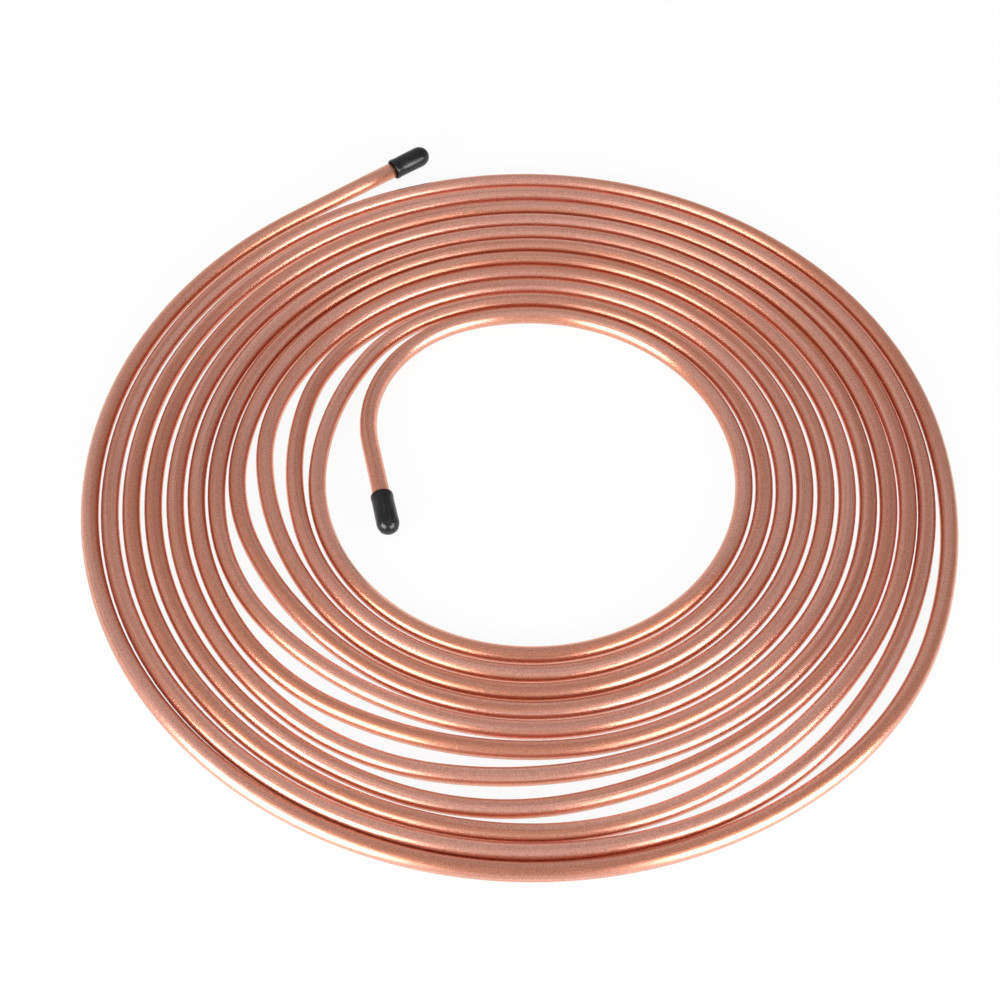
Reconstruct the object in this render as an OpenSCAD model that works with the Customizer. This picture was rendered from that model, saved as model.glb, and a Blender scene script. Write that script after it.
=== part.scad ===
// A coil of 3/16 in (4.76 mm) copper-nickel brake line, wound flat, with a vinyl cap on each end.
// The whole line is one tube. Its path is a chain of plain bends, each tangent to the next.
// The coil lies on the floor, z = 0, with its axis on Z. Angles are measured round that axis.

/* [Tube] */
// Outside diameter of the tube
tube_od = 4.76; // [4:0.01:6.35]
// Wall thickness of the tube
tube_wall = 0.71; // [0.4:0.01:1.2]

/* [Coil] */
// Radius of the innermost turn, to the middle of the tube
inner_r = 57.5; // [50:0.1:90]
// Gap between a turn and the next one inside it
turn_gap = 0.69; // [0.6:0.01:1.5]
// How many times the tube steps in by one turn
steps = 11; // [3:1:11]
// Angle where the outermost turn starts to step in
first_step = 308; // [300:1:320]
// Angle that one step takes
step_angle = 60; // [50:2:80]
// How much earlier each step comes than the one outside it
step_creep = 19; // [10:1:20]
// How far the middle of the outermost turn lies off the coil's axis, as the coil is not wound
// quite evenly. From each turn to the next it lies nearer
wander = 0.8; // [0:0.01:0.85]
// Angle at which the middle of the outermost turn lies
wander_start = 140; // [0:1:359]
// Angle that it moves round the axis from each turn to the next
wander_turn = 41; // [30:1:44]

/* [Ends] */
// Angle where the outer end leaves the coil
lead_angle = 126; // [110:1:150]
// Length of the straight outer end, as far as the end of the tube
lead_len = 47; // [35:0.1:90]
// Angle where the inner end curls in
curl_start = 108; // [100:1:112]
// Radius of that curl, to the middle of the tube
curl_r = 38.6; // [30:0.1:42]
// Angle that the curl turns through
curl_angle = 84; // [70:1:95]
// Length of the straight inner end, as far as the end of the tube
tail_len = 29.4; // [20:0.1:40]

/* [Caps] */
// Length of a cap
cap_len = 12.7; // [10:0.1:20]
// Wall thickness of a cap
cap_wall = 0.65; // [0.4:0.01:1.2]
// Thickness of a cap's closed end
cap_end = 1.2; // [0.8:0.1:3]
// Clearance between a cap and the tube in it, all round and at the end
cap_fit = 0.05; // [0.02:0.01:0.15]
// How round a cap's closed end is, from 0.5 to nearly a full dome
cap_dome = 0.85; // [0.5:0.01:0.95]

/* [Hidden] */
turn_fn = 180;
section_fn = 48;

pitch = tube_od + turn_gap;
outer_r = inner_r + steps * pitch;
floor_z = tube_od / 2;
cap_r = tube_od / 2 + cap_fit + cap_wall;
cap_round = cap_dome * cap_r;
tube_in_cap = cap_len - cap_end - cap_fit;

turn_sweep = 360 - step_creep - step_angle;

// A straight end is made as every other bend is: it turns so little that it is straight to the eye
straight_turn = 0.25;
lead_r = lead_len / straight_turn * 180 / PI;
tail_r = tail_len / straight_turn * 180 / PI;

// The ends rise off the floor from a quarter mark of the coil onward, one from each
quarter = 90;
outer_mark = ceil(lead_angle / quarter) * quarter;
inner_mark = floor(curl_start / quarter) * quarter;
last_step_end = first_step + step_angle + (steps - 1) * (360 - step_creep);
last_sweep = 360 - (last_step_end - inner_mark) % 360;

function dir(a) = [cos(a), sin(a)];
function middle(turn) = wander * (1 - turn / steps) * dir(wander_start + turn * wander_turn);

// From one turn to the next: the two bends of the step, then the turn inside it. The radii of the
// two bends are those that bring the middle of the one turn to the middle of the other
function step_in(turn, sweep) = let (
    r = outer_r - turn * pitch,
    start = first_step + turn * (360 - step_creep),
    first = dir(start + step_angle / 2) - dir(start),
    second = dir(start + step_angle) - dir(start + step_angle / 2),
    move = middle(turn + 1) - middle(turn) - r * dir(start) + (r - pitch) * dir(start + step_angle)
) [
    [cross(move, second) / cross(first, second), step_angle / 2],
    [cross(first, move) / cross(first, second), step_angle / 2],
    [r - pitch, sweep]
];

// The path from the outer end to the inner one, each bend as [radius, angle turned]
path = [
    [lead_r, straight_turn],
    [outer_r, outer_mark - lead_angle],
    [outer_r, first_step - outer_mark],
    for (k = [0 : steps - 1])
        each step_in(k, k < steps - 1 ? turn_sweep : last_sweep),
    [inner_r, curl_start - inner_mark],
    [curl_r, curl_angle],
    [tail_r, straight_turn]
];
OUTERMOST = 2;
LAST = len(path) - 1;

// Where each bend starts round the coil, and its centre, which lies on one line with the
// centre of the bend before it and the point where the two meet
angles = [for (i = 0, a = lead_angle - straight_turn; i <= LAST + 1;
    a = a + (i <= LAST ? path[i][1] : 0), i = i + 1) a];
offsets = [for (i = 0, c = [0, 0]; i <= LAST;
    c = c + (i < LAST ? (path[i][0] - path[i + 1][0]) * dir(angles[i + 1]) : [0, 0]), i = i + 1) c];
centres = [for (c = offsets) c - offsets[OUTERMOST] + middle(0)];

// The two ends of the tube, in the plane of the coil
outer_end = centres[0] + path[0][0] * dir(angles[0]);
inner_end = centres[LAST] + path[LAST][0] * dir(angles[LAST + 1]);
outer_heading = angles[0] - 90;
inner_heading = angles[LAST + 1] + 90;

// Each end is tilted just enough for the mouth of its cap to touch the floor. The cosine of the
// tilt is kept to six decimals, so that the two bends where it starts still meet exactly
function tilt_over(length) = acos(floor(cos(asin((cap_r - floor_z) / length)) * 1e6) / 1e6);
outer_hinge = centres[OUTERMOST] + outer_r * dir(outer_mark);
inner_hinge = centres[LAST - 3] + inner_r * dir(inner_mark);
outer_mouth = outer_end - tube_in_cap * dir(outer_heading);
inner_mouth = inner_end - tube_in_cap * dir(inner_heading);
outer_tilt = tilt_over((outer_hinge - outer_mouth) * dir(outer_mark));
inner_tilt = tilt_over((inner_hinge - inner_mouth) * dir(inner_mark));

// Moves by whole millimetres, then thousandths, then the rest, so that two bends still meet
// when each of these numbers is rounded to six figures
function whole(p) = [for (v = p) round(v)];
function thousandths(p) = [for (v = p) round((v - round(v)) * 1000) / 1000];
module at(p) {
    translate(whole(p)) translate(thousandths(p)) translate(p - whole(p) - thousandths(p)) children();
}

// Tilts an end up about the line that touches its turn at a quarter mark
module tilted(mark, hinge, tilt) {
    at(hinge) rotate([0, 0, mark]) rotate([0, tilt, 0]) rotate([0, 0, -mark]) at(-hinge) children();
}

module section() {
    difference() {
        circle(d = tube_od, $fn = section_fn);
        circle(d = tube_od - 2 * tube_wall, $fn = section_fn);
    }
}

module bends(first, last) {
    for (i = [first : last])
        at(centres[i]) rotate_extrude(angle = path[i][1], start = angles[i] % 360, $fn = turn_fn)
            at([path[i][0], 0]) section();
}

// One tube, hollow from end to end
module brake_line() {
    color([0.72, 0.48, 0.4]) translate([0, 0, floor_z]) {
        tilted(outer_mark, outer_hinge, outer_tilt) bends(0, OUTERMOST - 1);
        bends(OUTERMOST, LAST - 3);
        tilted(inner_mark, inner_hinge, inner_tilt) bends(LAST - 2, LAST);
    }
}

// A cap with its mouth at the origin, closed towards +X
module cap() {
    rotate([0, 90, 0]) rotate_extrude($fn = 96) difference() {
        union() {
            square([cap_r, cap_len - cap_round]);
            square([cap_r - cap_round, cap_len]);
            translate([cap_r - cap_round, cap_len - cap_round]) intersection() {
                circle(r = cap_round, $fn = section_fn);
                square(cap_round);
            }
        }
        square([tube_od / 2 + cap_fit, tube_in_cap + cap_fit]);
    }
}

module outer_end_cap() {
    color([0.09, 0.09, 0.1]) translate([0, 0, floor_z]) tilted(outer_mark, outer_hinge, outer_tilt)
        translate(outer_mouth) rotate([0, 0, outer_heading]) cap();
}

module inner_end_cap() {
    color([0.09, 0.09, 0.1]) translate([0, 0, floor_z]) tilted(inner_mark, inner_hinge, inner_tilt)
        translate(inner_mouth) rotate([0, 0, inner_heading]) cap();
}

brake_line();
outer_end_cap();
inner_end_cap();
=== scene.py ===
# %% [markdown]
# # A coil of copper-nickel brake line
# The object is one long tube, wound flat, with a black vinyl cap on each end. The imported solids
# are the frame: every piece made here lies where they lie, in metres, on the floor at z = 0.

from math import acos, asin, atan2, ceil, cos, degrees, floor, hypot, pi, radians, sin

import bmesh
import bpy
from mathutils import Matrix, Vector


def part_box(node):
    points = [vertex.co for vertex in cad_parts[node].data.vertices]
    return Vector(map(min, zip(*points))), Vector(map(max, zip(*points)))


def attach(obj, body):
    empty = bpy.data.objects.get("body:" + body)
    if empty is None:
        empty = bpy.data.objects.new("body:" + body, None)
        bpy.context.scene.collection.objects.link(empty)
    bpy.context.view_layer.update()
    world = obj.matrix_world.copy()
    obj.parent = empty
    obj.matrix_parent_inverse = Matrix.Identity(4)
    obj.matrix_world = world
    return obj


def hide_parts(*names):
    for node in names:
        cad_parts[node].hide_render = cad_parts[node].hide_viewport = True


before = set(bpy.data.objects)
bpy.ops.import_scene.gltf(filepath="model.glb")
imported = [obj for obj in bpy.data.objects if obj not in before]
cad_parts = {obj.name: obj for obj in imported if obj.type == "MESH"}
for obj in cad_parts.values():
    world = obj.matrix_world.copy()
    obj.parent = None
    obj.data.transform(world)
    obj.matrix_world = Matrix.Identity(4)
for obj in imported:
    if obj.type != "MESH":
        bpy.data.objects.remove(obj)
scene = bpy.context.scene
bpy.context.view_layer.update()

# %% [markdown]
# ## The camera
# It looks down at the coil from the front at a little over 50 degrees, from about half a metre
# away, as someone leaning over a table does. A long lens keeps the far turns nearly as large as
# the near ones. It aims at a point on the floor a little to the left of and in front of the axis.

# %% Place the camera
CAMERA_ELEVATION = radians(53.475)
CAMERA_DISTANCE = 0.5175
AIM = Vector((-0.0082, -0.0069, 0))
LENS = 69.3
SENSOR_WIDTH = 36

camera_data = bpy.data.cameras.new("camera")
camera_data.sensor_width = SENSOR_WIDTH
camera_data.lens = LENS
camera = bpy.data.objects.new("camera", camera_data)
backwards = Vector((0, -cos(CAMERA_ELEVATION), sin(CAMERA_ELEVATION)))
camera.location = AIM + CAMERA_DISTANCE * backwards
camera.rotation_euler = (pi / 2 - CAMERA_ELEVATION, 0, 0)
scene.collection.objects.link(camera)
scene.camera = camera
print("camera at", [round(v, 3) for v in camera.location])

# %% [markdown]
# ## The sizes of the tube and its coil
# These are the driving sizes of the real coil, in millimetres and degrees: standard 3/16 in brake
# line, wound from an inner turn outwards. Each turn steps in to the next over a sixth of the coil,
# and each step comes a little earlier than the one outside it. The turns spring a little when the
# coil is let go, so the middle of each one lies a little off the axis: 0.8 mm for the outermost,
# and less for each one further in. Angles are measured round the coil, from the right.

# %% State the driving sizes
TUBE_OD = 4.76
TUBE_WALL = 0.71
INNER_R = 57.5  # the innermost full turn, to the middle of the tube
TURN_GAP = 0.69  # between neighbouring turns, on average
STEPS = 11  # from the outermost turn in to the innermost
FIRST_STEP = 308  # where the outermost step starts
STEP_ANGLE = 60  # how far round a step takes
STEP_CREEP = 19  # how much earlier each step starts than the one outside it
WANDER = 0.8  # how far off the axis the middle of the outermost turn lies
WANDER_START = 140  # to which side it lies
WANDER_TURN = 41  # how far that side turns from one turn to the next
LEAD_ANGLE = 126  # where the straight outer end leaves the coil
LEAD_LEN = 47
CURL_START = 108  # where the inner end starts to curl into the eye
CURL_R = 38.6
CURL_ANGLE = 84
TAIL_LEN = 29.4  # the straight stretch after the curl
STRAIGHT_TURN = 0.25  # how far a straight end still turns
QUARTER = 90

CAP_LEN = 12.7
CAP_WALL = 0.65
CAP_END = 1.2
CAP_FIT = 0.05  # the clearance between a cap and the tube

pitch = TUBE_OD + TURN_GAP
outer_r = INNER_R + STEPS * pitch
axis_z = TUBE_OD / 2
cap_r = TUBE_OD / 2 + CAP_FIT + CAP_WALL
tube_in_cap = CAP_LEN - CAP_END - CAP_FIT
print("outermost turn", round(outer_r, 2), "mm in radius,", round(pitch, 2), "mm from turn to turn")

# %% [markdown]
# ## The path, as a chain of bends
# A tube bender makes a coil as a chain of plain bends, each running on smoothly from the last one.
# Two bends run on smoothly when their centres and the point where they meet lie on one line, so
# the whole path follows from a list of radii and angles turned. A step inwards is two bends of
# different radii, which are just enough to bring the middle of one turn to the middle of the next.
# Even the straight ends are such bends, of a quarter of a degree.

# %% Work out the bends


def direction(angle):
    """The unit vector at an angle round the coil, in degrees."""
    return Vector((cos(radians(angle)), sin(radians(angle)), 0))


def middle(turn):
    """Where the middle of a turn lies: nearer to the axis with each turn inwards."""
    return WANDER * (1 - turn / STEPS) * direction(WANDER_START + turn * WANDER_TURN)


def step_radii(turn):
    """The radii of the two bends that bring one turn in to the next."""
    r = outer_r - turn * pitch
    start = FIRST_STEP + turn * (360 - STEP_CREEP)
    first = direction(start + STEP_ANGLE / 2) - direction(start)
    second = direction(start + STEP_ANGLE) - direction(start + STEP_ANGLE / 2)
    move = middle(turn + 1) - middle(turn)
    move += (r - pitch) * direction(start + STEP_ANGLE) - r * direction(start)
    both = first.cross(second).z
    return move.cross(second).z / both, first.cross(move).z / both


outer_mark = ceil(LEAD_ANGLE / QUARTER) * QUARTER
inner_mark = floor(CURL_START / QUARTER) * QUARTER
last_step_end = FIRST_STEP + STEP_ANGLE + (STEPS - 1) * (360 - STEP_CREEP)
between_steps = 360 - STEP_CREEP - STEP_ANGLE
after_last_step = 360 - (last_step_end - inner_mark) % 360

path = [
    (LEAD_LEN / radians(STRAIGHT_TURN), STRAIGHT_TURN),
    (outer_r, outer_mark - LEAD_ANGLE),
    (outer_r, FIRST_STEP - outer_mark),
]
outermost = len(path) - 1
for turn in range(STEPS):
    path += [(radius, STEP_ANGLE / 2) for radius in step_radii(turn)]
    sweep = after_last_step if turn == STEPS - 1 else between_steps
    path.append((outer_r - (turn + 1) * pitch, sweep))
innermost = len(path) - 1
path += [
    (INNER_R, CURL_START - inner_mark),
    (CURL_R, CURL_ANGLE),
    (TAIL_LEN / radians(STRAIGHT_TURN), STRAIGHT_TURN),
]

starts = [LEAD_ANGLE - STRAIGHT_TURN]
for radius, sweep in path:
    starts.append(starts[-1] + sweep)
centres = [Vector((0, 0, axis_z))]
for (radius, _), (next_radius, _), meeting in zip(path, path[1:], starts[1:]):
    centres.append(centres[-1] + (radius - next_radius) * direction(meeting))
shift = middle(0) - centres[outermost]
shift.z = 0
centres = [centre + shift for centre in centres]
path_length = sum(radius * radians(sweep) for radius, sweep in path)
print(len(path), "bends,", round(path_length), "mm of tube")

# %% [markdown]
# ## How the ends tilt
# A cap is thicker than the tube, so the tube can't lie flat on the floor right up to its cap. From
# a quarter mark of the coil onwards each end rises by about half a degree, just enough for the
# mouth of its cap to touch the floor. The solids keep the cosine of that tilt to a millionth, so it
# is kept to a millionth here too.

# %% Work out the tilt of each end
COSINE_PARTS = 1e6


def tilt_over(length):
    """How far an end tilts up for the mouth of its cap to touch the floor, as in the solids."""
    cosine = cos(asin((cap_r - axis_z) / length))
    return acos(floor(cosine * COSINE_PARTS) / COSINE_PARTS)


outer_end = centres[0] + path[0][0] * direction(starts[0])
inner_end = centres[-1] + path[-1][0] * direction(starts[-1])
outer_heading = starts[0] - 90
inner_heading = starts[-1] + 90
outer_mouth = outer_end - tube_in_cap * direction(outer_heading)
inner_mouth = inner_end - tube_in_cap * direction(inner_heading)
outer_hinge = centres[outermost] + outer_r * direction(outer_mark)
inner_hinge = centres[innermost] + INNER_R * direction(inner_mark)
outer_tilt = tilt_over((outer_hinge - outer_mouth).dot(direction(outer_mark)))
inner_tilt = tilt_over((inner_hinge - inner_mouth).dot(direction(inner_mark)))
tilts = [round(degrees(tilt), 3) for tilt in (outer_tilt, inner_tilt)]
print("the outer and the inner end tilt by", tilts, "degrees")


def tilt_end(bm, mark, hinge, tilt):
    """Tilts an end up about the line that touches its turn at a quarter mark."""
    turn = Matrix.Rotation(radians(mark), 3, "Z")
    matrix = turn @ Matrix.Rotation(tilt, 3, "Y") @ turn.transposed()
    bmesh.ops.rotate(bm, verts=bm.verts[:], cent=hinge, matrix=matrix)


# %% [markdown]
# ## The tube
# The section is a circle, and Spin carries it round each bend, so the mesh is made as the coil
# was. A sweep along a curve would do too, but it lets the section twist on the way. Each bend is
# spun in a small mesh of its own, which is many times quicker than spinning on the growing tube,
# and all are then welded together.
# Each vertex also keeps the place it had while the tube was still straight: how far along, and
# how far across and up in the section. The tube was drawn through a die while it was straight, so
# its scratches and grain follow that place and bend with the tube.

# %% Spin every bend and weld them into one tube
SIDES = 28
STEP_DEGREES = 2.0
FEWEST_STEPS = 2
START_MARGIN = 1  # in degrees, so that a vertex at the start of a bend isn't read as a full turn
WELD = 0.05


def spin_bend(index, along):
    """One bend as a mesh of its own, each vertex with the place it had in the straight tube."""
    radius, sweep = path[index]
    bm = bmesh.new()
    drawn = bm.verts.layers.float_vector.new("drawn_mm")
    way = bm.verts.layers.float_vector.new("drawn_way")
    ring = bmesh.ops.create_circle(bm, segments=SIDES, radius=TUBE_OD / 2)["verts"]
    stand_up = Matrix.Rotation(radians(starts[index]), 4, "Z") @ Matrix.Rotation(pi / 2, 4, "X")
    middle_of_ring = centres[index] + radius * direction(starts[index])
    bmesh.ops.transform(bm, verts=ring, matrix=Matrix.Translation(middle_of_ring) @ stand_up)
    steps = max(FEWEST_STEPS, ceil(sweep / STEP_DEGREES))
    bmesh.ops.spin(
        bm, geom=ring + bm.edges[:], cent=centres[index], axis=(0, 0, 1), dvec=(0, 0, 0),
        angle=radians(sweep), steps=steps, use_duplicate=False)
    for vert in bm.verts:
        arm = vert.co - centres[index]
        turned = degrees(atan2(arm.y, arm.x)) - starts[index]
        turned = (turned + START_MARGIN) % 360 - START_MARGIN
        vert[drawn] = (along + radius * radians(turned), hypot(arm.x, arm.y) - radius, arm.z)
        vert[way] = Vector((-arm.y, arm.x, 0)).normalized()
    return bm


tube_bm = bmesh.new()
drawn = tube_bm.verts.layers.float_vector.new("drawn_mm")
way = tube_bm.verts.layers.float_vector.new("drawn_way")
along = 0
for index, (radius, sweep) in enumerate(path):
    bend = spin_bend(index, along)
    if index < outermost:
        tilt_end(bend, outer_mark, outer_hinge, outer_tilt)
    if index > innermost:
        tilt_end(bend, inner_mark, inner_hinge, inner_tilt)
    bend_mesh = bpy.data.meshes.new("bend")
    bend.to_mesh(bend_mesh)
    bend.free()
    tube_bm.from_mesh(bend_mesh)
    bpy.data.meshes.remove(bend_mesh)
    along += radius * radians(sweep)
bmesh.ops.remove_doubles(tube_bm, verts=tube_bm.verts[:], dist=WELD)
for face in tube_bm.faces:
    face.smooth = True
print("the bare tube:", len(tube_bm.verts), "vertices,", round(along), "mm long")

# %% [markdown]
# ## The ends of the tube
# A hacksaw or a cutter leaves a square end with the bore open. The caps hide both ends, so each
# one only needs its wall and the first few millimetres of the bore: the end is closed, inset by
# the wall, and the middle is pushed back in.

# %% Close the ends and open the bore a little way
BORE_DEPTH = 6


def open_bore(bm, end, heading):
    """Closes the ring at an end, leaves a rim as wide as the wall and pushes the middle in."""
    rims = [edge for edge in bm.edges if edge.is_boundary]
    ring = [edge for edge in rims if (edge.verts[0].co - end).length < TUBE_OD]
    face = bmesh.ops.edgeloop_fill(bm, edges=ring)["faces"][0]
    bmesh.ops.inset_region(bm, faces=[face], thickness=TUBE_WALL, use_even_offset=True)
    pushed = bmesh.ops.extrude_discrete_faces(bm, faces=[face])["faces"][0]
    bmesh.ops.translate(bm, verts=pushed.verts, vec=-BORE_DEPTH * direction(heading))


open_bore(tube_bm, outer_end, outer_heading)
open_bore(tube_bm, inner_end, inner_heading)
for vert in tube_bm.verts:
    if vert[way].length == 0:  # a vertex of the bore, which has no place in the straight tube yet
        vert[drawn] = (0, 0, axis_z)
        vert[way] = (1, 0, 0)
bmesh.ops.recalc_face_normals(tube_bm, faces=tube_bm.faces[:])
open_edges = sum(edge.is_boundary for edge in tube_bm.edges)
print("the closed tube:", len(tube_bm.faces), "faces,", open_edges, "open edges")

# %% [markdown]
# ## From millimetres to the frame
# The shapes are worked out in millimetres, as on a drawing. The frame is in metres, so the mesh
# itself is scaled, and its object stays at the origin and unscaled. The piece then rides on the
# solids' one body and stands for one of them, and its box is compared with that solid's.

# %% Finish the tube as a piece
MM = 0.001


def finish_piece(bm, name, node):
    """Turns a bmesh in millimetres into a piece in metres that stands for one of the solids."""
    bmesh.ops.scale(bm, vec=(MM, MM, MM), verts=bm.verts[:])
    mesh = bpy.data.meshes.new(name)
    bm.to_mesh(mesh)
    bm.free()
    piece = bpy.data.objects.new(name, mesh)
    scene.collection.objects.link(piece)
    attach(piece, "root")
    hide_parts(node)
    low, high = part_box(node)
    places = [vert.co for vert in mesh.vertices]
    below = [abs(min(place[i] for place in places) - low[i]) for i in range(3)]
    above = [abs(max(place[i] for place in places) - high[i]) for i in range(3)]
    apart = max(below + above) / MM
    print(name, len(mesh.polygons), "faces, box within", round(apart, 3), "mm of its solid")
    return piece


tube = finish_piece(tube_bm, "drawn_tube", "brake_line")

# %% [markdown]
# ## The caps
# A vinyl cap is dipped on a steel mandrel: the closed end comes out as a soft dome, a little longer
# than half a ball, and the mouth keeps a thicker bead where the last of the vinyl ran down. It is
# turned from half its outline with Spin, which leaves it round. Each vertex keeps its place on the
# mandrel, for the marks that follow the cap's length.

# %% Turn one cap from its outline and fit it on each end
CAP_DOME = 3.4
CAP_DOME_STEPS = 14
CAP_LIP = 0.35  # the radius of the rounded edge at the mouth
CAP_LIP_STEPS = 6
CAP_BEAD = 1.1  # how far the bead reaches from the mouth
CAP_BEAD_FALL = 0.25  # over what length it falls away
CAP_WAIST = 0.07  # how much thinner the cap is past its bead
CAP_WAIST_LEN = 2
CAP_SEGMENTS = 48
CAP_WELD = 0.001


def arc(centre, radii, first, last, count):
    """Points on a round or oval stretch of an outline, as (along, out), between two angles."""
    angles = [radians(first + (last - first) * i / count) for i in range(count + 1)]
    return [(centre[0] + radii[0] * cos(a), centre[1] + radii[1] * sin(a)) for a in angles]


def make_cap(name, node, mouth, heading, mark, hinge, tilt):
    """A cap with its mouth on the tube and its dome past the tube's end."""
    bore = TUBE_OD / 2 + CAP_FIT
    waist = cap_r - CAP_WAIST
    outline = [(tube_in_cap + CAP_FIT, 0), (tube_in_cap + CAP_FIT, bore), (CAP_LIP, bore)]
    outline += arc((CAP_LIP, cap_r - CAP_LIP), (CAP_LIP, CAP_LIP), 180, 90, CAP_LIP_STEPS)
    outline += [(CAP_BEAD, cap_r), (CAP_BEAD + CAP_BEAD_FALL, waist)]
    outline += [(CAP_BEAD + CAP_WAIST_LEN, waist)]
    outline += arc((CAP_LEN - CAP_DOME, 0), (CAP_DOME, cap_r), 90, 0, CAP_DOME_STEPS)
    bm = bmesh.new()
    verts = [bm.verts.new((x, 0, y)) for x, y in outline]
    edges = [bm.edges.new(pair) for pair in zip(verts, verts[1:])]
    bmesh.ops.spin(
        bm, geom=verts + edges, cent=(0, 0, 0), axis=(1, 0, 0), dvec=(0, 0, 0),
        angle=2 * pi, steps=CAP_SEGMENTS, use_merge=True)
    bmesh.ops.remove_doubles(bm, verts=bm.verts[:], dist=CAP_WELD)
    bmesh.ops.recalc_face_normals(bm, faces=bm.faces[:])
    dipped = bm.verts.layers.float_vector.new("dipped_mm")
    for vert in bm.verts:
        vert[dipped] = vert.co
    for face in bm.faces:
        face.smooth = True
    place = Matrix.Translation(mouth) @ Matrix.Rotation(radians(heading), 4, "Z")
    bmesh.ops.transform(bm, verts=bm.verts[:], matrix=place)
    tilt_end(bm, mark, hinge, tilt)
    return finish_piece(bm, name, node)


outer_cap = make_cap(
    "outer_cap", "outer_end_cap", outer_mouth, outer_heading, outer_mark, outer_hinge, outer_tilt)
inner_cap = make_cap(
    "inner_cap", "inner_end_cap", inner_mouth, inner_heading, inner_mark, inner_hinge, inner_tilt)

# %% [markdown]
# ## Colours and nodes
# Colours are written as the sRGB hex values that a maker would pick, and one function turns them
# into the linear values that the shaders use. Another adds a node with its settings and links, and
# a third starts an empty material.

# %% Define the helpers for materials
MID_GREY = "#808080"


def linear(colour):
    """An sRGB hex colour as linear red, green, blue and alpha."""
    channels = [int(colour[i:i + 2], 16) / 255 for i in (1, 3, 5)]
    return [c / 12.92 if c <= 0.04045 else ((c + 0.055) / 1.055) ** 2.4 for c in channels] + [1]


def add_node(tree, kind, settings=None, **inputs):
    """Adds a node, sets its properties, and sets or links its inputs by name or number."""
    node = tree.nodes.new(kind)
    for key, value in (settings or {}).items():
        setattr(node, key, value)
    for key, value in inputs.items():
        socket = node.inputs[int(key[1:])] if key[0] == "_" else node.inputs[key.replace("_", " ")]
        if isinstance(value, bpy.types.NodeSocket):
            tree.links.new(value, socket)
        else:
            socket.default_value = value
    return node


def new_material(name):
    """An empty node material and its output node."""
    material = bpy.data.materials.new(name)
    material.use_nodes = True
    material.node_tree.nodes.clear()
    output = material.node_tree.nodes.new("ShaderNodeOutputMaterial")
    return material, material.node_tree, output


print("the colour", MID_GREY, "is", round(linear(MID_GREY)[0], 3), "in linear light")

# %% [markdown]
# ## Drawn copper-nickel
# The alloy is nine parts copper to one of nickel, which turns copper's red to a pinkish brown. It
# was drawn through a die, annealed and left bare. So it is bright but not polished. Fine lines
# from the die run along it, and light scatters across such lines far more than along them, which
# makes the highlights wide round the tube and short along it: that is what Anisotropic does, with
# the way along the tube as its Tangent. A thin clear film is left of the drawing oil, and its
# reflections are white where the metal's own are rose. Annealing leaves sandy patches, the tone
# drifts between rose and brown along the tube, and winding leaves it very slightly wavy.
# All of these follow the straight tube's own coordinates. Noise is drawn out along the tube by
# shrinking its first coordinate, so a spot becomes a line. The real grain is about 0.05 mm and the
# lines are finer still, which nobody sees at arm's length, so the grain is drawn 0.35 mm wide and
# the lines 0.6 mm.

# %% Lay the metal's patterns along the straight tube
GRAIN_MM = 0.35
LINE_MM = 0.6
TUBE_PATTERNS = {  # the size of a spot in mm, the shrink along the tube, Detail and Roughness
    "grain": (GRAIN_MM, 1, 2.0, 0.7),
    "lines": (LINE_MM, 0.006, 2.0, 0.6),
    "tone": (3.0, 0.016, 2.0, 0.5),
    "spring": (4.0, 0.05, 0.0, 0.5),
    "sandy": (9.0, 0.12, 1.0, 0.5),
}


def tube_patterns(tree):
    """The level of each of the tube's patterns, by name."""
    place = add_node(tree, "ShaderNodeAttribute", {"attribute_name": "drawn_mm"}).outputs["Vector"]
    levels = {}
    for name, (size, shrink, detail, roughness) in TUBE_PATTERNS.items():
        along_tube = add_node(tree, "ShaderNodeMapping", Vector=place, Scale=(shrink, 1, 1))
        noise = add_node(
            tree, "ShaderNodeTexNoise", Vector=along_tube.outputs[0], Scale=1 / size,
            Detail=detail, Roughness=roughness)
        levels[name] = noise.outputs["Fac"]
    return levels


print("the tube's patterns:", ", ".join(TUBE_PATTERNS))

# %% [markdown]
# The colour drifts from rose to brown along the tube, and some draw lines hold a darker oxide. A
# painted glint is laid on the grain as a fine speckle: each grain is drawn a little lighter or
# darker, as if it caught the light more or less than the next.

# %% Colour the metal
ROSE_METAL = "#F5B09A"
BROWN_METAL = "#DF9071"
OXIDE = "#B0705A"
TONE_DRIFT = {"From_Min": 0.4, "From_Max": 0.6}
OXIDE_IN_LINES = {"From_Min": 0.5, "From_Max": 0.8, "To_Max": 0.7}
# the painted glint speckle: how much lighter or darker each grain is drawn
GLINT_SPECKLE = {"From_Min": 0.35, "From_Max": 0.65, "To_Min": 0.78, "To_Max": 1.22}


def metal_colour(tree, levels):
    """Rose drifting to brown, with a darker oxide in some lines and a painted glint speckle."""
    drift = add_node(tree, "ShaderNodeMapRange", Value=levels["tone"], **TONE_DRIFT)
    skin = add_node(
        tree, "ShaderNodeMix", {"data_type": "RGBA"},
        _0=drift.outputs[0], _6=linear(ROSE_METAL), _7=linear(BROWN_METAL))
    oxide = add_node(tree, "ShaderNodeMapRange", Value=levels["lines"], **OXIDE_IN_LINES)
    colour = add_node(
        tree, "ShaderNodeMix", {"data_type": "RGBA"},
        _0=oxide.outputs[0], _6=skin.outputs[2], _7=linear(OXIDE))
    # painted glint: each grain makes the colour lighter or darker, as if it caught the light
    glint_speckle = add_node(tree, "ShaderNodeMapRange", Value=levels["grain"], **GLINT_SPECKLE)
    glint_speckled = add_node(
        tree, "ShaderNodeHueSaturation", Value=glint_speckle.outputs[0], Color=colour.outputs[2])
    return glint_speckled.outputs[0]


print("the metal runs from", ROSE_METAL, "to", BROWN_METAL, "with", OXIDE, "in the lines")

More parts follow.
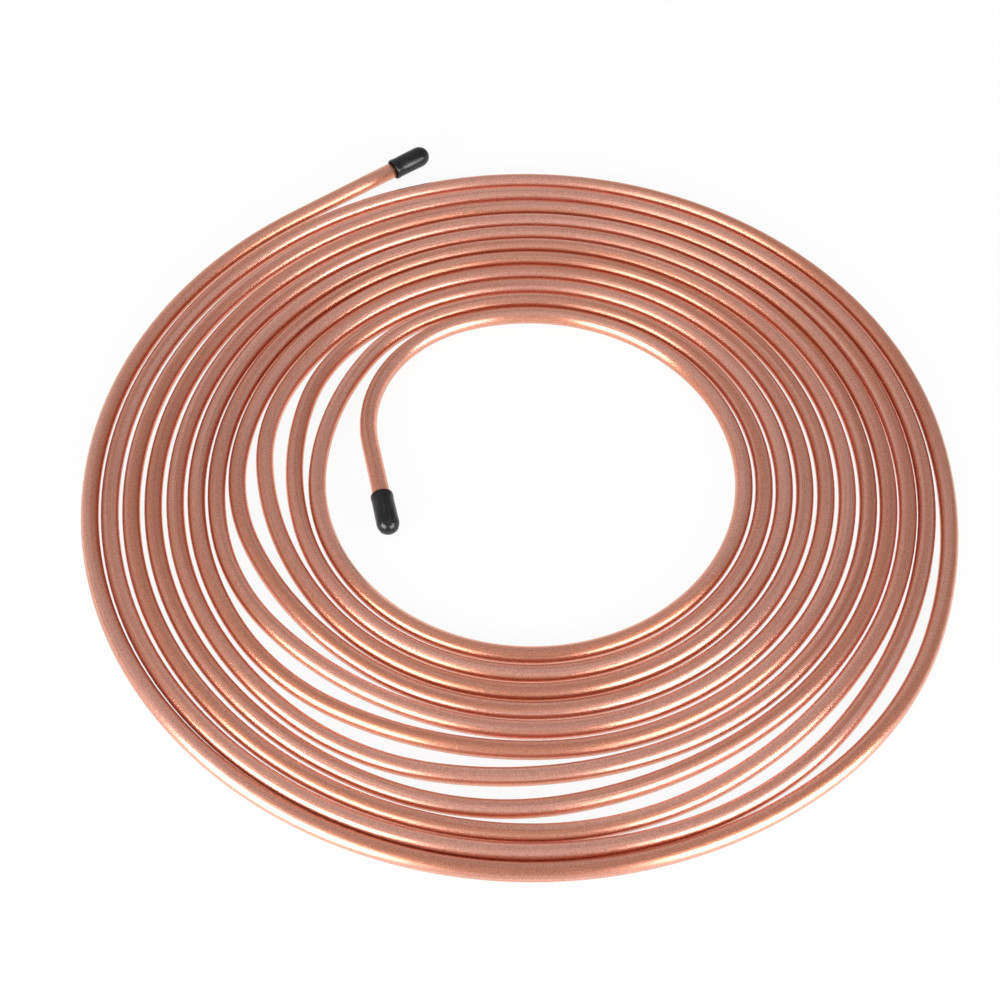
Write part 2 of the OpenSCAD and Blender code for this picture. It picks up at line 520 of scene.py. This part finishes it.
# %% [markdown]
# The relief comes in three layers, each on the one before: the slow wave of the spring, then the
# draw lines, then the grain, which stands out most in the sandy patches. Bump is enough for them,
# because the deepest is a few tenths of a millimetre. Their depths are in metres.

# %% Give the metal its relief
SPRING_DEPTH = 0.0003
LINE_DEPTH = 0.00009
GRAIN_DEPTH = 0.00008
SANDY_PATCHES = {"From_Min": 0.42, "From_Max": 0.62, "To_Min": 0.25, "To_Max": 0.7}


def metal_relief(tree, levels):
    """The wave of the spring, the draw lines on it, and on those the grain."""
    wave = add_node(
        tree, "ShaderNodeBump", Strength=1.0, Distance=SPRING_DEPTH, Height=levels["spring"])
    lines = add_node(
        tree, "ShaderNodeBump", Strength=1.0, Distance=LINE_DEPTH, Height=levels["lines"],
        Normal=wave.outputs[0])
    sandiness = add_node(tree, "ShaderNodeMapRange", Value=levels["sandy"], **SANDY_PATCHES)
    grain = add_node(
        tree, "ShaderNodeBump", Strength=sandiness.outputs[0], Distance=GRAIN_DEPTH,
        Height=levels["grain"], Normal=lines.outputs[0])
    return grain.outputs[0]


depths = [round(depth / MM, 3) for depth in (SPRING_DEPTH, LINE_DEPTH, GRAIN_DEPTH)]
print("the wave, the lines and the grain are", depths, "mm deep")

# %% [markdown]
# The shader puts these together. Anisotropic Rotation is a quarter turn, which lays the scatter
# across the tube while the Tangent runs along it. The film is the shader's Coat.

# %% Make the metal and give it to the tube
GRAZING_TINT = "#FFEED6"
METAL_ROUGHNESS = {"From_Min": 0.35, "From_Max": 0.65, "To_Min": 0.26, "To_Max": 0.34}
SCATTER = 0.65
QUARTER_TURN = 0.25
FILM_ROUGHNESS = 0.25


def copper_nickel():
    """Bare drawn and annealed copper-nickel: satin, sandy in patches, with a drifting tone."""
    material, tree, output = new_material("drawn_copper_nickel")
    levels = tube_patterns(tree)
    dullness = add_node(tree, "ShaderNodeMapRange", Value=levels["lines"], **METAL_ROUGHNESS)
    way = add_node(tree, "ShaderNodeAttribute", {"attribute_name": "drawn_way"}).outputs["Vector"]
    shader = add_node(
        tree, "ShaderNodeBsdfPrincipled", Base_Color=metal_colour(tree, levels), Metallic=1.0,
        Roughness=dullness.outputs[0], Specular_Tint=linear(GRAZING_TINT), Anisotropic=SCATTER,
        Anisotropic_Rotation=QUARTER_TURN, Tangent=way, Coat_Weight=1.0,
        Coat_Roughness=FILM_ROUGHNESS, Normal=metal_relief(tree, levels))
    tree.links.new(shader.outputs[0], output.inputs["Surface"])
    return material


tube.data.materials.append(copper_nickel())
print("metal with a", GRAIN_MM, "mm grain and", LINE_MM, "mm draw lines")

# %% [markdown]
# ## Black vinyl
# Plastisol comes off the mandrel smooth and slightly glossy, with faint runs along it, and handling
# dulls it in patches. Both follow the place that each vertex had on the mandrel. The two bumps are
# a few hundredths of a millimetre deep.

# %% Make the caps' vinyl
VINYL = "#0B0B0C"
DUSTY_VINYL = "#2A2A2E"
RUN_MM = 0.5
RUN_SHRINK = 0.12
PEEL_MM = 0.6
RUN_DEPTH = 0.00006
PEEL_DEPTH = 0.00005
DUST_ON_RUNS = {"From_Min": 0.45, "From_Max": 0.75}
VINYL_ROUGHNESS = {"From_Min": 0.35, "From_Max": 0.65, "To_Min": 0.16, "To_Max": 0.36}


def vinyl():
    """Dipped black vinyl: half glossy, with runs along it, a slight peel and a handled skin."""
    material, tree, output = new_material("dipped_black_vinyl")
    place = add_node(tree, "ShaderNodeAttribute", {"attribute_name": "dipped_mm"}).outputs["Vector"]
    along_runs = add_node(tree, "ShaderNodeMapping", Vector=place, Scale=(RUN_SHRINK, 1, 1))
    runs = add_node(
        tree, "ShaderNodeTexNoise", Vector=along_runs.outputs[0], Scale=1 / RUN_MM,
        Detail=3.0, Roughness=0.6)
    peel = add_node(
        tree, "ShaderNodeTexNoise", Vector=place, Scale=1 / PEEL_MM, Detail=2.0, Roughness=0.6)
    dust = add_node(tree, "ShaderNodeMapRange", Value=runs.outputs["Fac"], **DUST_ON_RUNS)
    colour = add_node(
        tree, "ShaderNodeMix", {"data_type": "RGBA"},
        _0=dust.outputs[0], _6=linear(VINYL), _7=linear(DUSTY_VINYL))
    dullness = add_node(tree, "ShaderNodeMapRange", Value=runs.outputs["Fac"], **VINYL_ROUGHNESS)
    run_bump = add_node(
        tree, "ShaderNodeBump", Strength=0.5, Distance=RUN_DEPTH, Height=runs.outputs["Fac"])
    peel_bump = add_node(
        tree, "ShaderNodeBump", Strength=0.35, Distance=PEEL_DEPTH, Height=peel.outputs["Fac"],
        Normal=run_bump.outputs[0])
    shader = add_node(
        tree, "ShaderNodeBsdfPrincipled", Base_Color=colour.outputs[2],
        Roughness=dullness.outputs[0], Specular_IOR_Level=0.4, Normal=peel_bump.outputs[0])
    tree.links.new(shader.outputs[0], output.inputs["Surface"])
    return material


black_vinyl = vinyl()
outer_cap.data.materials.append(black_vinyl)
inner_cap.data.materials.append(black_vinyl)
print("vinyl with", RUN_MM, "mm runs and a", PEEL_MM, "mm peel")

# %% [markdown]
# ## The floor
# A product table is painted matt white, and this one is so large that it fills the view. Light Path
# tells the shader who is looking: to the camera, and in metal and glass, most of the floor is plain
# white, and the rest is paint that keeps the coil's shadow.

# %% Lay the floor
FLOOR_SIZE = 60.0
FLOOR_WHITE = "#F2F2F2"
FLOOR_GLOW = 0.92

floor_bm = bmesh.new()
bmesh.ops.create_grid(floor_bm, x_segments=1, y_segments=1, size=FLOOR_SIZE / 2)
floor_mesh = bpy.data.meshes.new("floor")
floor_bm.to_mesh(floor_mesh)
floor_bm.free()
floor_piece = bpy.data.objects.new("floor", floor_mesh)
scene.collection.objects.link(floor_piece)


def white_floor():
    """Matt white paint. To the camera, and in metal and glass, most of it is plain white."""
    material, tree, output = new_material("matt_white_floor")
    rays = add_node(tree, "ShaderNodeLightPath")
    camera_or_glossy = add_node(
        tree, "ShaderNodeMath", {"operation": "MAXIMUM"},
        _0=rays.outputs["Is Camera Ray"], _1=rays.outputs["Is Glossy Ray"])
    seen = add_node(
        tree, "ShaderNodeMath", {"operation": "MAXIMUM"},
        _0=camera_or_glossy.outputs[0], _1=rays.outputs["Is Transmission Ray"])
    share = add_node(
        tree, "ShaderNodeMath", {"operation": "MULTIPLY"}, _0=seen.outputs[0], _1=FLOOR_GLOW)
    paint = add_node(tree, "ShaderNodeBsdfDiffuse", Color=linear(FLOOR_WHITE))
    white = add_node(tree, "ShaderNodeEmission", Strength=1.0)
    both = add_node(
        tree, "ShaderNodeMixShader", _0=share.outputs[0], _1=paint.outputs[0], _2=white.outputs[0])
    tree.links.new(both.outputs[0], output.inputs["Surface"])
    return material


floor_piece.data.materials.append(white_floor())
print("a floor", FLOOR_SIZE, "m square")

# %% [markdown]
# ## The room
# Metal shows what is around it more than its own colour, so the room counts as much as the lamps.
# It is pale, and a little brighter towards the front, the left and straight back, as a room with
# pale walls near the table is. Each part of a ray's way out adds its share to the level.

# %% Fill the room
ROOM_WHITE = "#FFFFFF"
ROOM_LEVEL = 0.60
FRONT_LEVEL = 0.18
LEFT_LEVEL = 0.10
BACK_LEVEL = 0.25
BACK_WALL = {"From_Min": 0.65, "From_Max": 0.95, "To_Max": BACK_LEVEL}

world = bpy.data.worlds.new("pale_room")
world.use_nodes = True
room_tree = world.node_tree
background = room_tree.nodes["Background"]
background.inputs["Color"].default_value = linear(ROOM_WHITE)
room_way = add_node(room_tree, "ShaderNodeTexCoord").outputs["Generated"]
parts = add_node(room_tree, "ShaderNodeSeparateXYZ", Vector=room_way)
with_front = add_node(
    room_tree, "ShaderNodeMath", {"operation": "MULTIPLY_ADD"},
    _0=parts.outputs["Y"], _1=-FRONT_LEVEL, _2=ROOM_LEVEL)
with_left = add_node(
    room_tree, "ShaderNodeMath", {"operation": "MULTIPLY_ADD"},
    _0=parts.outputs["X"], _1=-LEFT_LEVEL, _2=with_front.outputs[0])
back_wall = add_node(
    room_tree, "ShaderNodeMapRange", {"interpolation_type": "SMOOTHSTEP"},
    Value=parts.outputs["Y"], **BACK_WALL)
level = add_node(
    room_tree, "ShaderNodeMath", {"operation": "ADD"},
    _0=with_left.outputs[0], _1=back_wall.outputs[0])
room_tree.links.new(level.outputs[0], background.inputs["Strength"])
scene.world = world
print("a room of level", ROOM_LEVEL, "and up to", BACK_LEVEL, "more straight back")

# %% [markdown]
# ## The softboxes
# One stands low down at each side of the camera. Where they stand decides where the highlights fall
# on the turns: on the parts of each turn that face them, with a duller stretch between, where the
# turns face the camera. A lamp's power is its level times pi times its area, so a larger softbox
# stays as bright to look at.

# %% Stand the softboxes beside the camera
CAMERA_SIDE = 270
SOFTBOX_ANGLE = 47
SOFTBOX_DISTANCE = 0.9
SOFTBOX_WIDTH = 0.72
SOFTBOX_HEIGHT = 0.48
SOFTBOX_LIFT = 0.01
SOFTBOX_LEVEL = 10.0

for side, name in ((-1, "left_softbox"), (1, "right_softbox")):
    lamp_data = bpy.data.lights.new(name, "AREA")
    lamp_data.shape = "RECTANGLE"
    lamp_data.size = SOFTBOX_WIDTH
    lamp_data.size_y = SOFTBOX_HEIGHT
    lamp_data.energy = SOFTBOX_LEVEL * pi * SOFTBOX_WIDTH * SOFTBOX_HEIGHT
    lamp = bpy.data.objects.new(name, lamp_data)
    lamp.location = SOFTBOX_DISTANCE * direction(CAMERA_SIDE + side * SOFTBOX_ANGLE)
    lamp.location.z = SOFTBOX_HEIGHT / 2 + SOFTBOX_LIFT
    lamp.rotation_euler = (pi / 2, 0, radians(side * SOFTBOX_ANGLE))
    scene.collection.objects.link(lamp)

scene.view_settings.view_transform = "Standard"
print("softboxes at", SOFTBOX_ANGLE, "degrees to each side of the camera")
